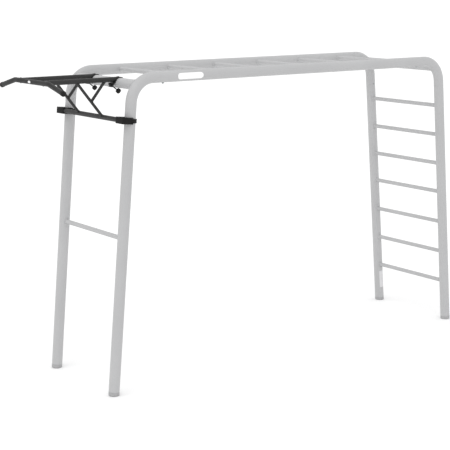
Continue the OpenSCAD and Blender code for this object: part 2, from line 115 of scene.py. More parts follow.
# ---------------------------------------------------------------- Frame tubes
# Beams, bends, legs, cross tubes and rungs: welded steel tube, blasted and
# powder coated light grey. They are drawn tube, so the CAD shapes stay as they are.
MM = 0.001
beam_low, beam_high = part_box("beam_front")
tube_r = (beam_high.z - beam_low.z) / 2
beam_z = (beam_high.z + beam_low.z) / 2
arch_y = -(beam_high.y + beam_low.y) / 2


def link(material, shader, **patterns):
    """Links patterns to the shader's inputs of those names."""
    for name, value in patterns.items():
        material.node_tree.links.new(value, shader.inputs[name.replace("_", " ")])


# Light grey polyester powder coat on steel. Sprayed and baked, so it has orange
# peel: soft dimples 1.5 mm across. Real film thickness varies, which shows as broad
# drifts of tone; a 12 mm mottle, coarser than the real one, makes it read at a distance.
# A Mix node's inputs go by number: 0 is its factor, 6 and 7 its colours. Output 2 is
# the mixed colour.
grey_coat, shader = new_material("powder_coated_steel_grey", Roughness=0.45, IOR=1.5)
place = add_node(grey_coat, "ShaderNodeTexCoord", output="Object")
drift = add_node(
    grey_coat, "ShaderNodeTexNoise", {"Vector": place, "Scale": 1 / (350 * MM), "Detail": 3})
mottle = add_node(
    grey_coat, "ShaderNodeTexNoise",
    {"Vector": place, "Scale": 1 / (12 * MM), "Detail": 3, "Roughness": 0.6})
peel = add_node(
    grey_coat, "ShaderNodeTexNoise", {"Vector": place, "Scale": 1 / (1.5 * MM), "Detail": 1})
share = add_node(
    grey_coat, "ShaderNodeMapRange", {"Value": drift, "From Min": 0.3, "From Max": 0.7})
tone = add_node(
    grey_coat, "ShaderNodeMix",
    {0: share, 6: linear("#B3B3B4"), 7: linear("#B8B8B9")}, output=2, data_type="RGBA")
share = add_node(
    grey_coat, "ShaderNodeMapRange",
    {"Value": mottle, "From Min": 0.3, "From Max": 0.7, "To Max": 0.5})
tone = add_node(
    grey_coat, "ShaderNodeMix",
    {0: share, 6: tone, 7: linear("#AFB0B1")}, output=2, data_type="RGBA")
gloss = add_node(
    grey_coat, "ShaderNodeMapRange",
    {"Value": mottle, "From Min": 0.3, "From Max": 0.7, "To Min": 0.38, "To Max": 0.52})
bump = add_node(grey_coat, "ShaderNodeBump", {"Height": peel, "Distance": 0.04 * MM})
bump = add_node(
    grey_coat, "ShaderNodeBump", {"Height": mottle, "Distance": 0.05 * MM, "Normal": bump})
link(grey_coat, shader, Base_Color=tone, Roughness=gloss, Normal=bump)

GREY_NODES = (
    "beam_front", "beam_back", "corner_bend", "leg_front", "leg_back", "cross_tube",
    "top_rung", "ladder_rung", "leg_crossbar")
for name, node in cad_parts.items():
    if name.startswith(GREY_NODES):
        node.data.materials.clear()
        node.data.materials.append(grey_coat)


def only(piece):
    """Selects this piece alone and makes it the active one."""
    bpy.ops.object.select_all(action="DESELECT")
    piece.select_set(True)
    bpy.context.view_layer.objects.active = piece


def finished(piece, material, body, slot, *nodes):
    """Ends a piece: its place goes into its mesh, and it gets its material and body."""
    only(piece)
    bpy.ops.object.transform_apply(location=True, rotation=True, scale=True)
    piece.data.materials.clear()
    piece.data.materials.append(material)
    bpy.ops.object.shade_smooth_by_angle(angle=math.radians(35))
    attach(piece, body)
    if nodes:
        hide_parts(*nodes)


def joined(name, parts):
    """Joins parts into the first one and names it."""
    bpy.ops.object.select_all(action="DESELECT")
    for part in parts:
        part.select_set(True)
    bpy.context.view_layer.objects.active = parts[0]
    if len(parts) > 1:
        bpy.ops.object.join()
    parts[0].name = name
    return parts[0]


# ---------------------------------------------------------------- Rung and cross welds
# Each rung and cross tube is coped to the tube it meets and MIG welded all round.
# The bead is a low ring of overlapping ripples that follows the saddle between the
# two tubes, under the same powder coat.
RIPPLE_PITCH = 4 * MM
RIPPLE_SHARE = 0.14  # of the bead's own radius


def weld_bead(start, along, child_r, parent_point, parent_axis, parent_r, bead_r):
    """A ring of weld where a tube from `start`, going `along`, meets a parent tube."""
    bpy.ops.object.select_all(action="DESELECT")
    bpy.ops.mesh.primitive_torus_add(
        major_segments=56, minor_segments=8,
        major_radius=child_r, minor_radius=bead_r, location=(0, 0, 0))
    bead = bpy.context.object
    along, parent_axis = Vector(along).normalized(), Vector(parent_axis).normalized()
    turn = Vector((0, 0, 1)).rotation_difference(along).to_matrix()
    across = along - parent_axis * along.dot(parent_axis)
    ripples = round(2 * math.pi * child_r / RIPPLE_PITCH)
    for vertex in bead.data.vertices:
        angle = math.atan2(vertex.co.y, vertex.co.x)
        ring = Vector((math.cos(angle), math.sin(angle), 0)) * child_r
        section = (vertex.co - ring) * (1 + RIPPLE_SHARE * math.sin(ripples * angle))
        foot = Vector(start) + turn @ ring
        offset = foot - Vector(parent_point)
        offset -= parent_axis * offset.dot(parent_axis)
        # how far along the child its wall first meets the parent's round surface
        a, b, c = across.dot(across), offset.dot(across), offset.dot(offset) - parent_r ** 2
        reach = (-b - math.sqrt(max(b * b - a * c, 0))) / a
        vertex.co = foot + along * reach + turn @ section
    return bead


bar_low, bar_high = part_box("top_rung_1")
rung_r = (bar_high.z - bar_low.z) / 2
first, last = [(a + b) / 2 for a, b in (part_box("ladder_rung_1"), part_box("ladder_rung_7"))]
leg_lean = math.atan2(last.x - first.x, first.z - last.z)
RUNG_BEAD = 3.2 * MM
PARENT_LEAN = {"top_rung": math.pi / 2, "ladder_rung": leg_lean, "leg_crossbar": -leg_lean}
beads = []
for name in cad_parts:
    if not name.startswith(tuple(PARENT_LEAN)):
        continue
    low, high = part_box(name)
    middle = (low + high) / 2
    lean = next(lean for kind, lean in PARENT_LEAN.items() if name.startswith(kind))
    parent_axis = (math.sin(lean), 0, -math.cos(lean))
    for side in (-1, 1):
        beads.append(weld_bead(
            (middle.x, 0, middle.z), (0, side, 0), rung_r,
            (middle.x, side * arch_y, middle.z), parent_axis, tube_r, RUNG_BEAD))
finished(joined("rung_welds", beads), grey_coat, "frame", "grey_coat")

beads = []
CROSS_BEAD = 3.6 * MM
for end, name in ((-1, "cross_tube_left"), (1, "cross_tube_right")):
    low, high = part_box(name)
    middle = (low + high) / 2
    cross_r = (high.z - low.z) / 2
    slope = (math.pi / 2 + leg_lean) / 2
    for side in (-1, 1):
        beads.append(weld_bead(
            (middle.x, 0, middle.z), (0, side, 0), cross_r,
            (middle.x, side * arch_y, middle.z),
            (math.sin(slope), 0, -end * math.cos(slope)), tube_r, CROSS_BEAD))
finished(joined("cross_tube_welds", beads), grey_coat, "frame", "grey_coat")

# ---------------------------------------------------------------- Sleeves, bolts and nuts
# Each seam between a bend and a straight tube has a steel sleeve inside, held by a
# button-head bolt and a nut. All are zinc plated. The bolts show under the beams and
# on the inner sides of the legs, so they are remade with domed heads and hex sockets.
# Bright zinc plate on steel: a cool, slightly cloudy grey, with fine drawing marks.
zinc, shader = new_material("zinc_plated_steel", Metallic=1.0, Roughness=0.3)
place = add_node(zinc, "ShaderNodeTexCoord", output="Object")
cloud = add_node(zinc, "ShaderNodeTexNoise", {"Vector": place, "Scale": 1 / (9 * MM), "Detail": 4})
spread = add_node(zinc, "ShaderNodeMapping", {"Vector": place, "Scale": (1, 1, 0.15)})
drawing = add_node(
    zinc, "ShaderNodeTexNoise", {"Vector": spread, "Scale": 1 / (0.6 * MM), "Detail": 2})
share = add_node(zinc, "ShaderNodeMapRange", {"Value": cloud, "From Min": 0.3, "From Max": 0.7})
tone = add_node(
    zinc, "ShaderNodeMix",
    {0: share, 6: linear("#C4C7CA"), 7: linear("#AEB0B0")}, output=2, data_type="RGBA")
gloss = add_node(
    zinc, "ShaderNodeMapRange",
    {"Value": cloud, "From Min": 0.3, "From Max": 0.7, "To Min": 0.26, "To Max": 0.42})
bump = add_node(zinc, "ShaderNodeBump", {"Height": drawing, "Distance": 0.01 * MM})
link(zinc, shader, Base_Color=tone, Roughness=gloss, Normal=bump)
for name in ("beam_sleeves", "leg_sleeves", "frame_nuts", "strap_pins"):
    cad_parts[name].data.materials.clear()
    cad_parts[name].data.materials.append(zinc)


def groups_of(name, apart):
    """The boxes of a node's separate solids, which lie more than `apart` asunder."""
    boxes = []
    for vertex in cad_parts[name].data.vertices:
        for box in boxes:
            low, high = box
            if all(low[i] - apart < vertex.co[i] < high[i] + apart for i in range(3)):
                box[0] = Vector(map(min, box[0], vertex.co))
                box[1] = Vector(map(max, box[1], vertex.co))
                break
        else:
            boxes.append([vertex.co.copy(), vertex.co.copy()])
    return boxes


def cut(piece, cutter):
    """Takes the cutter's shape out of the piece, and removes the cutter."""
    modifier = piece.modifiers.new("cut", "BOOLEAN")
    modifier.object = cutter
    modifier.operation = "DIFFERENCE"
    modifier.solver = "EXACT"
    only(piece)
    bpy.ops.object.modifier_apply(modifier="cut")
    bpy.data.objects.remove(cutter)


def eased(piece, width, segments, degrees):
    """Rounds the piece's edges that are sharper than the given angle."""
    modifier = piece.modifiers.new("edges", "BEVEL")
    modifier.width = width
    modifier.segments = segments
    modifier.limit_method = "ANGLE"
    modifier.angle_limit = math.radians(degrees)
    only(piece)
    bpy.ops.object.modifier_apply(modifier="edges")


def picked(piece, kind, wanted):
    """Leaves a piece in edit mode with only its wanted faces or edges selected."""
    bpy.ops.object.mode_set(mode="EDIT")
    bpy.ops.mesh.select_mode(type=kind)
    bpy.ops.mesh.select_all(action="DESELECT")
    bpy.ops.object.mode_set(mode="OBJECT")
    for item in piece.data.polygons if kind == "FACE" else piece.data.edges:
        item.select = wanted(item)
    bpy.ops.object.mode_set(mode="EDIT")


HEAD_H = 4.4 * MM
HEAD_DOME = 0.55 * HEAD_H
SHANK_R = 4 * MM
SOCKET_SHARE = 0.4  # the hex socket's radius, of the head's
bolts = []
for low, high in groups_of("frame_bolts", apart=12 * MM):
    middle = (low + high) / 2
    size = high - low
    head_r = size.x / 2
    if size.z > size.y:
        outward = Vector((0, 0, -1))
    else:
        outward = Vector((0, -1 if middle.y > 0 else 1, 0))
    length = max(size)
    bpy.ops.object.select_all(action="DESELECT")
    bpy.ops.mesh.primitive_cylinder_add(
        vertices=40, radius=head_r, depth=HEAD_H, location=(0, 0, length / 2 - HEAD_H / 2))
    head = bpy.context.object
    picked(head, "FACE", lambda face: face.normal.z > 0.9)
    bpy.ops.mesh.bevel(offset=HEAD_DOME, segments=4, affect="EDGES")
    bpy.ops.object.mode_set(mode="OBJECT")
    # the socket's floor is 0.4 of the head's height below its top
    bpy.ops.mesh.primitive_cylinder_add(
        vertices=6, radius=SOCKET_SHARE * head_r, depth=HEAD_H,
        location=(0, 0, length / 2 + 0.1 * HEAD_H))
    cut(head, bpy.context.object)
    eased(head, 0.25 * MM, segments=1, degrees=50)
    bpy.ops.mesh.primitive_cylinder_add(
        vertices=24, radius=SHANK_R, depth=length - HEAD_H, location=(0, 0, -HEAD_H / 2))
    shank = bpy.context.object
    eased(shank, 0.6 * MM, segments=1, degrees=50)
    bolt = joined("bolt", [head, shank])
    bolt.rotation_mode = "QUATERNION"
    bolt.rotation_quaternion = Vector((0, 0, 1)).rotation_difference(outward)
    bolt.location = middle
    bpy.ops.object.transform_apply(location=True, rotation=True, scale=True)
    bolts.append(bolt)
finished(joined("button_head_bolts", bolts), zinc, "frame", "zinc_steel", "frame_bolts")

# ---------------------------------------------------------------- Foot caps
# Each leg ends in a grey polyethylene cap with a plug inside the tube. The cap is
# moulded round below and stands level, though its leg leans.
# Moulded polyethylene: the frame's grey, duller than the coat, with a spark-eroded grain.
foot_grey, shader = new_material("moulded_polyethylene_grey", Roughness=0.6, IOR=1.51)
place = add_node(foot_grey, "ShaderNodeTexCoord", output="Object")
grain = add_node(
    foot_grey, "ShaderNodeTexNoise", {"Vector": place, "Scale": 1 / (2 * MM), "Detail": 2})
scuff = add_node(
    foot_grey, "ShaderNodeTexNoise",
    {"Vector": place, "Scale": 1 / (18 * MM), "Detail": 4, "Roughness": 0.7})
share = add_node(
    foot_grey, "ShaderNodeMapRange",
    {"Value": scuff, "From Min": 0.3, "From Max": 0.7, "To Max": 0.8})
tone = add_node(
    foot_grey, "ShaderNodeMix",
    {0: share, 6: linear("#A9A9AA"), 7: linear("#A0A0A1")}, output=2, data_type="RGBA")
gloss = add_node(
    foot_grey, "ShaderNodeMapRange",
    {"Value": grain, "From Min": 0.3, "From Max": 0.7, "To Min": 0.52, "To Max": 0.7})
bump = add_node(foot_grey, "ShaderNodeBump", {"Height": grain, "Distance": 0.05 * MM})
bump = add_node(
    foot_grey, "ShaderNodeBump", {"Height": scuff, "Distance": 0.08 * MM, "Normal": bump})
link(foot_grey, shader, Base_Color=tone, Roughness=gloss, Normal=bump)
COLLAR = 28 * MM  # the part below the tube's end
SUNK = 2 * MM  # how far the leaning cap's foot goes below the ground before it is cut level
ROUNDING = 10 * MM
RIM = 0.9 * MM
RIM_RISE = 0.7 * MM
LEDGE = 1.4 * MM  # the tube's end stands on it
PLUG_SHORT = 2 * MM
PLUG_WALL = 3 * MM
PLUG_DEEP = 30 * MM
SIDES = (("front", -1), ("back", 1))
for end_name, end in (("left", -1), ("right", 1)):
    for side_name, side in SIDES:
        node_name = f"foot_cap_{side_name}_{end_name}"
        low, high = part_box(node_name)
        outer_x = high.x if end > 0 else low.x
        lean_in = tube_r * math.cos(leg_lean) - (ROUNDING - SUNK) * math.sin(leg_lean)
        ground_x = outer_x - end * lean_in
        bpy.ops.object.select_all(action="DESELECT")
        bpy.ops.mesh.primitive_cylinder_add(
            vertices=64, radius=tube_r, depth=COLLAR + SUNK,
            location=(0, 0, (COLLAR - SUNK) / 2))
        cap = bpy.context.object
        bpy.ops.object.transform_apply(location=True)
        picked(cap, "FACE", lambda face: face.normal.z < -0.9)
        bpy.ops.mesh.bevel(offset=ROUNDING, segments=7, affect="EDGES")
        bpy.ops.object.mode_set(mode="OBJECT")
        picked(cap, "FACE", lambda face: face.normal.z > 0.9)
        bpy.ops.mesh.inset(thickness=RIM, depth=RIM_RISE)
        bpy.ops.mesh.inset(thickness=LEDGE, depth=0)
        bpy.ops.mesh.extrude_region_move(
            TRANSFORM_OT_translate={"value": (0, 0, high.z - COLLAR - PLUG_SHORT)})
        bpy.ops.mesh.inset(thickness=PLUG_WALL, depth=-PLUG_DEEP)
        bpy.ops.object.mode_set(mode="OBJECT")
        cap.rotation_euler = (0, -end * leg_lean, 0)
        cap.location = (ground_x, side * arch_y, 0)
        bpy.ops.object.transform_apply(location=True, rotation=True)
        bpy.ops.object.mode_set(mode="EDIT")
        bpy.ops.mesh.select_all(action="SELECT")
        bpy.ops.mesh.bisect(
            plane_co=(0, 0, 0), plane_no=(0, 0, 1), use_fill=True, clear_inner=True)
        bpy.ops.object.mode_set(mode="OBJECT")
        cap.name = f"foot_{side_name}_{end_name}"
        finished(cap, foot_grey, "frame", "grey_foot", node_name)

# ---------------------------------------------------------------- Printed mark and label
# A plain white bar is screen printed on the front beam, near its left end, and a
# plain pale label is stuck to the inner side of the back right-hand leg.
# Screen-printed ink: thin, bright and smooth, with slightly worn patches.
white_ink, shader = new_material("screen_printed_ink_white", Roughness=0.4, IOR=1.5)
place = add_node(white_ink, "ShaderNodeTexCoord", output="Object")
wear = add_node(
    white_ink, "ShaderNodeTexNoise",
    {"Vector": place, "Scale": 1 / (7 * MM), "Detail": 5, "Roughness": 0.65})
screen = add_node(
    white_ink, "ShaderNodeTexNoise", {"Vector": place, "Scale": 1 / (1.5 * MM), "Detail": 2})
share = add_node(
    white_ink, "ShaderNodeMapRange", {"Value": wear, "From Min": 0.55, "From Max": 0.8})
tone = add_node(
    white_ink, "ShaderNodeMix",
    {0: share, 6: linear("#FAFAFA"), 7: linear("#EDEDEE")}, output=2, data_type="RGBA")
gloss = add_node(
    white_ink, "ShaderNodeMapRange",
    {"Value": wear, "From Min": 0.3, "From Max": 0.7, "To Min": 0.34, "To Max": 0.5})
bump = add_node(white_ink, "ShaderNodeBump", {"Height": screen, "Distance": 0.02 * MM})
link(white_ink, shader, Base_Color=tone, Roughness=gloss, Normal=bump)


def wrapped_label(length, height, corner, radius, thickness):
    """A rounded rectangle wrapped on a tube along X, centred on the tube's -Y side."""
    bpy.ops.object.select_all(action="DESELECT")
    bpy.ops.mesh.primitive_grid_add(x_subdivisions=60, y_subdivisions=24, size=1)
    label = bpy.context.object
    for vertex in label.data.vertices:
        x, y = vertex.co.x * length, vertex.co.y * height
        over = max(abs(y) - (height / 2 - corner), 0)
        end = length / 2 - corner + math.sqrt(max(corner ** 2 - over ** 2, 0))
        x *= end / (length / 2)
        angle = y / radius
        vertex.co = (x, -radius * math.cos(angle), radius * math.sin(angle))
    modifier = label.modifiers.new("film", "SOLIDIFY")
    modifier.thickness = thickness
    modifier.offset = 0
    bpy.ops.object.modifier_apply(modifier="film")
    bpy.ops.object.mode_set(mode="EDIT")
    bpy.ops.mesh.select_all(action="SELECT")
    bpy.ops.mesh.normals_make_consistent(inside=False)
    bpy.ops.object.mode_set(mode="OBJECT")
    return label


FILM = 0.16 * MM  # thicker than real ink, so that it stays clear of the tube
MARK_FROM_END = 248 * MM
mark = wrapped_label(
    length=212 * MM, height=46 * MM, corner=22.9 * MM, radius=tube_r + FILM / 2, thickness=FILM)
mark.name = "beam_mark"
mark.location = (beam_low.x + MARK_FROM_END, -arch_y, beam_z)
finished(mark, white_ink, "frame", "white_badge")

LABEL_Z = 195 * MM
label = wrapped_label(
    length=150 * MM, height=42 * MM, corner=6 * MM, radius=tube_r + FILM / 2, thickness=FILM)
label.name = "leg_label"
label.rotation_euler = (0, math.pi / 2 - leg_lean, 0)
label.location = (first.x + (first.z - LABEL_Z) * math.tan(leg_lean), arch_y, LABEL_Z)
# Printed polyester film: off-white and half matt, with faint creases.
label_film, shader = new_material(
    "polyester_label_film", Base_Color=linear("#D9D9DA"), Roughness=0.5)
place = add_node(label_film, "ShaderNodeTexCoord", output="Object")
crease = add_node(
    label_film, "ShaderNodeTexNoise", {"Vector": place, "Scale": 1 / (10 * MM), "Detail": 3})
share = add_node(
    label_film, "ShaderNodeMapRange", {"Value": crease, "From Min": 0.3, "From Max": 0.7})
tone = add_node(
    label_film, "ShaderNodeMix",
    {0: share, 6: linear("#D8D8D9"), 7: linear("#D0D0D2")}, output=2, data_type="RGBA")
gloss = add_node(
    label_film, "ShaderNodeMapRange",
    {"Value": crease, "From Min": 0.3, "From Max": 0.7, "To Min": 0.42, "To Max": 0.6})
link(label_film, shader, Base_Color=tone, Roughness=gloss)
finished(label, label_film, "frame", "white_badge")

# ---------------------------------------------------------------- Pull-up bar tubes
# The grip bar, arms, braces, struts and stand-off bar are round steel tube and bar,
# welded into one frame and powder coated charcoal. Their CAD shapes stay.
# Fine-textured charcoal powder coat: a gritty, matt film with 0.9 mm grains that
# scatters light. Hands polish it, and knocks on edges let a paler primer show.
charcoal, shader = new_material(
    "powder_coated_steel_charcoal", Roughness=0.5, IOR=1.5, Specular_IOR_Level=0.3)
place = add_node(charcoal, "ShaderNodeTexCoord", output="Object")
grit = add_node(
    charcoal, "ShaderNodeTexNoise", {"Vector": place, "Scale": 1 / (0.9 * MM), "Detail": 2})
drift = add_node(
    charcoal, "ShaderNodeTexNoise",
    {"Vector": place, "Scale": 1 / (45 * MM), "Detail": 4, "Roughness": 0.6})
rub = add_node(
    charcoal, "ShaderNodeTexNoise",
    {"Vector": place, "Scale": 1 / (9 * MM), "Detail": 5, "Roughness": 0.7})
edge = add_node(charcoal, "ShaderNodeNewGeometry", output="Pointiness")
share = add_node(
    charcoal, "ShaderNodeMapRange", {"Value": drift, "From Min": 0.3, "From Max": 0.7})
tone = add_node(
    charcoal, "ShaderNodeMix",
    {0: share, 6: linear("#141414"), 7: linear("#191919")}, output=2, data_type="RGBA")
share = add_node(
    charcoal, "ShaderNodeMapRange",
    {"Value": rub, "From Min": 0.6, "From Max": 0.8, "To Max": 0.7})
tone = add_node(
    charcoal, "ShaderNodeMix",
    {0: share, 6: tone, 7: linear("#232323")}, output=2, data_type="RGBA")
share = add_node(
    charcoal, "ShaderNodeMapRange",
    {"Value": edge, "From Min": 0.56, "From Max": 0.66, "To Max": 0.6})
tone = add_node(
    charcoal, "ShaderNodeMix",
    {0: share, 6: tone, 7: linear("#3E3E3E")}, output=2, data_type="RGBA")
gloss = add_node(
    charcoal, "ShaderNodeMapRange",
    {"Value": drift, "From Min": 0.3, "From Max": 0.7, "To Min": 0.4, "To Max": 0.56})
bump = add_node(charcoal, "ShaderNodeBump", {"Height": grit, "Distance": 0.06 * MM})
bump = add_node(charcoal, "ShaderNodeBump", {"Height": rub, "Distance": 0.05 * MM, "Normal": bump})
link(charcoal, shader, Base_Color=tone, Roughness=gloss, Normal=bump)
for name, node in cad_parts.items():
    if name.startswith(("grip_bar", "arm_", "brace_", "strut_", "standoff_bar")):
        node.data.materials.clear()
        node.data.materials.append(charcoal)

# ---------------------------------------------------------------- Hooks and screw bosses
# Each arm ends in a hook: a 6 mm steel strip bent over the cross tube, with a
# straight leg behind it. A threaded boss is welded to the leg's outer face, for the
# clamp screw. Strip edges are deburred to about 1 mm.
low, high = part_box("cross_tube_left")
cross = (low + high) / 2
cross_r = (high.z - low.z) / 2
low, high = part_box("hook_front")
hook_w = high.y - low.y
hook_or = high.z - cross.z
HOOK_T = 6 * MM
hook_ir = hook_or - HOOK_T
HOOK_TIP = math.radians(35)
HOOK_LEAN = math.radians(143)  # where the leg starts, round the cross tube
HOOK_LEG = 60 * MM
SCREW_DOWN = 45.97 * MM  # the screw's place down the leg
low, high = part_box("arm_front")
arm_y = -(low.y + high.y) / 2
bar_r = (high.y - low.y) / 2
bar_z = (low.z + high.z) / 2
low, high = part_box("grip_bar")
grip_x = low.x + bar_r
BOSS_R = 11 * MM
BOSS_L = 16 * MM
BOSS_BEAD = 2 * MM
SCREW_R = 4 * MM
HOOK_BORE = SCREW_R + 0.3 * MM
TIGHT_BORE = SCREW_R + 0.1 * MM


def at_hook(piece, side):
    """Places a piece made with X out from the hook's leg and Z down it."""
    only(piece)
    bpy.ops.object.transform_apply(location=True, rotation=True, scale=True)
    piece.rotation_mode = "XYZ"
    piece.rotation_euler = (0, -HOOK_LEAN, 0)
    piece.location = (cross.x, side * arm_y, cross.z)
    bpy.ops.object.transform_apply(location=True, rotation=True)


for side_name, side in SIDES:
    bpy.ops.object.select_all(action="DESELECT")
    bpy.ops.mesh.primitive_cube_add(size=1, location=(hook_ir + HOOK_T / 2, 0, HOOK_LEG / 2))
    hook = bpy.context.object
    hook.scale = (HOOK_T, hook_w, HOOK_LEG)
    bpy.ops.object.transform_apply(location=True, scale=True)
    picked(hook, "FACE", lambda face: face.normal.z < -0.9)
    bpy.ops.mesh.spin(
        steps=30, angle=HOOK_TIP - HOOK_LEAN, center=(0, 0, 0), axis=(0, 1, 0),
        use_auto_merge=False)
    bpy.ops.object.mode_set(mode="OBJECT")
    bpy.ops.mesh.primitive_cylinder_add(
        vertices=32, radius=HOOK_BORE, depth=4 * HOOK_T,
        location=(hook_ir, 0, SCREW_DOWN), rotation=(0, math.pi / 2, 0))
    cut(hook, bpy.context.object)
    eased(hook, 1.0 * MM, segments=2, degrees=40)
    at_hook(hook, side)
    hook.name = f"bent_hook_{side_name}"
    finished(hook, charcoal, "frame", "charcoal_coat", f"hook_{side_name}")

bosses = []
for side in (-1, 1):
    bpy.ops.object.select_all(action="DESELECT")
    bpy.ops.mesh.primitive_cylinder_add(
        vertices=48, radius=BOSS_R, depth=BOSS_L,
        location=(hook_or + BOSS_L / 2, 0, SCREW_DOWN), rotation=(0, math.pi / 2, 0))
    boss = bpy.context.object
    bpy.ops.object.transform_apply(location=True, rotation=True)
    bpy.ops.mesh.primitive_cylinder_add(
        vertices=32, radius=TIGHT_BORE, depth=4 * BOSS_L,
        location=(hook_or, 0, SCREW_DOWN), rotation=(0, math.pi / 2, 0))
    cut(boss, bpy.context.object)
    eased(boss, 1.2 * MM, segments=2, degrees=40)
    bpy.ops.mesh.primitive_torus_add(
        major_segments=48, minor_segments=8,
        major_radius=BOSS_R + 0.2 * BOSS_BEAD, minor_radius=BOSS_BEAD,
        location=(hook_or, 0, SCREW_DOWN), rotation=(0, math.pi / 2, 0))
    boss = joined("boss", [boss, bpy.context.object])
    at_hook(boss, side)
    bosses.append(boss)
finished(joined("threaded_bosses", bosses), charcoal, "frame", "charcoal_coat", "screw_bosses")

# ---------------------------------------------------------------- Pull-up bar welds
# Every joint of the pull-up frame is MIG welded: arms to the grip bar and to the
# hooks, braces and struts to the arms and to each other, braces to the stand-off bar.
low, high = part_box("standoff_bar")
standoff = (low + high) / 2
low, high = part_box("brace_front")
brace_r = (high.y - low.y) / 2
BRACE_REACH = 205 * MM
STRUT_REACH = 28 * MM
STRUT_SHARE = 0.566  # how far down the brace the strut meets it
brace_low = Vector((standoff.x, 0, standoff.z))
brace_top = Vector((standoff.x - BRACE_REACH, 0, bar_z))
brace_dir = (brace_low - brace_top).normalized()
strut_low = brace_top + (brace_low - brace_top) * STRUT_SHARE
strut_top = Vector((standoff.x + STRUT_REACH, 0, bar_z))
strut_dir = (strut_top - strut_low).normalized()
FRAME_BEAD = 3 * MM
BRACE_BEAD = 2.4 * MM
ASIDE = 100 * MM  # a start on the tube's axis, clear of its joint
beads = []
for side in (-1, 1):
    arm = Vector((0, side * arm_y, 0))
    middle = Vector((grip_x + ASIDE, side * arm_y, bar_z))
    brace_start = brace_low + arm - brace_dir * ASIDE
    strut_start = (strut_low + strut_top) / 2 + arm
    for start, along, child_r, parent_point, parent_axis, parent_r, bead_r in (
        # arm to grip bar, then arm to hook
        (middle, (-1, 0, 0), bar_r, (grip_x, 0, bar_z), (0, 1, 0), bar_r, FRAME_BEAD),
        (middle, (1, 0, 0), bar_r, (cross.x, 0, cross.z), (0, 1, 0), hook_or, FRAME_BEAD),
        # brace to stand-off bar, then brace to arm
        (brace_start, brace_dir, brace_r, standoff, (0, 1, 0), bar_r, BRACE_BEAD),
        (brace_start, -brace_dir, brace_r, middle, (1, 0, 0), bar_r, BRACE_BEAD),
        # strut to arm, then strut to brace
        (strut_start, strut_dir, brace_r, middle, (1, 0, 0), bar_r, BRACE_BEAD),
        (strut_start, -strut_dir, brace_r, brace_low + arm, brace_dir, brace_r, BRACE_BEAD),
    ):
        beads.append(weld_bead(
            start, along, child_r, parent_point, parent_axis, parent_r, bead_r))
finished(joined("pull_up_frame_welds", beads), charcoal, "frame", "charcoal_coat")

# ---------------------------------------------------------------- Grip bar caps and badge
# A soft black vinyl cap is pushed over each drooping end of the grip bar, and an
# oval moulded badge, plain white, is glued to the middle of the bar's outer side.
# Dip-moulded vinyl: black, half matt, with a faint skin texture and dust in it.
vinyl, shader = new_material(
    "dip_moulded_vinyl_black", Roughness=0.5, IOR=1.53, Specular_IOR_Level=0.2)
place = add_node(vinyl, "ShaderNodeTexCoord", output="Object")
skin = add_node(
    vinyl, "ShaderNodeTexNoise", {"Vector": place, "Scale": 1 / (1.2 * MM), "Detail": 2})
dust = add_node(
    vinyl, "ShaderNodeTexNoise",
    {"Vector": place, "Scale": 1 / (14 * MM), "Detail": 5, "Roughness": 0.7})
share = add_node(
    vinyl, "ShaderNodeMapRange",
    {"Value": dust, "From Min": 0.45, "From Max": 0.75, "To Max": 0.7})
tone = add_node(
    vinyl, "ShaderNodeMix",
    {0: share, 6: linear("#101010"), 7: linear("#1C1C1C")}, output=2, data_type="RGBA")
gloss = add_node(
    vinyl, "ShaderNodeMapRange",
    {"Value": dust, "From Min": 0.3, "From Max": 0.7, "To Min": 0.42, "To Max": 0.58})
bump = add_node(vinyl, "ShaderNodeBump", {"Height": skin, "Distance": 0.04 * MM})
bump = add_node(vinyl, "ShaderNodeBump", {"Height": dust, "Distance": 0.05 * MM, "Normal": bump})
link(vinyl, shader, Base_Color=tone, Roughness=gloss, Normal=bump)
DROOP = math.radians(14)
DROOP_RUN = 195 * MM  # from the bend to the bar's end
GRIP_HALF = 424 * MM
CAP_WALL = 1.8 * MM
CAP_LENGTH = 20 * MM
CAP_END = 3 * MM
GLUE_FIT = 0.15 * MM
for side_name, side in SIDES:
    bpy.ops.object.select_all(action="DESELECT")
    bpy.ops.mesh.primitive_cylinder_add(
        vertices=64, radius=bar_r + CAP_WALL, depth=CAP_LENGTH,
        location=(0, 0, CAP_END - CAP_LENGTH / 2))
    cap = bpy.context.object
    bpy.ops.object.transform_apply(location=True)
    picked(cap, "FACE", lambda face: face.normal.z > 0.9)
    bpy.ops.mesh.bevel(offset=CAP_END, segments=6, affect="EDGES")
    bpy.ops.object.mode_set(mode="OBJECT")
    bpy.ops.mesh.primitive_cylinder_add(
        vertices=64, radius=bar_r + GLUE_FIT, depth=CAP_LENGTH, location=(0, 0, -CAP_LENGTH / 2))
    cut(cap, bpy.context.object)
    eased(cap, 0.5 * MM, segments=2, degrees=50)
    cap.rotation_euler = (-side * (math.pi / 2 + DROOP), 0, 0)
    cap.location = (grip_x, side * GRIP_HALF, bar_z - DROOP_RUN * math.tan(DROOP))
    cap.name = f"vinyl_cap_{side_name}"
    finished(cap, vinyl, "frame", "black_rubber", f"grip_cap_{side_name}")

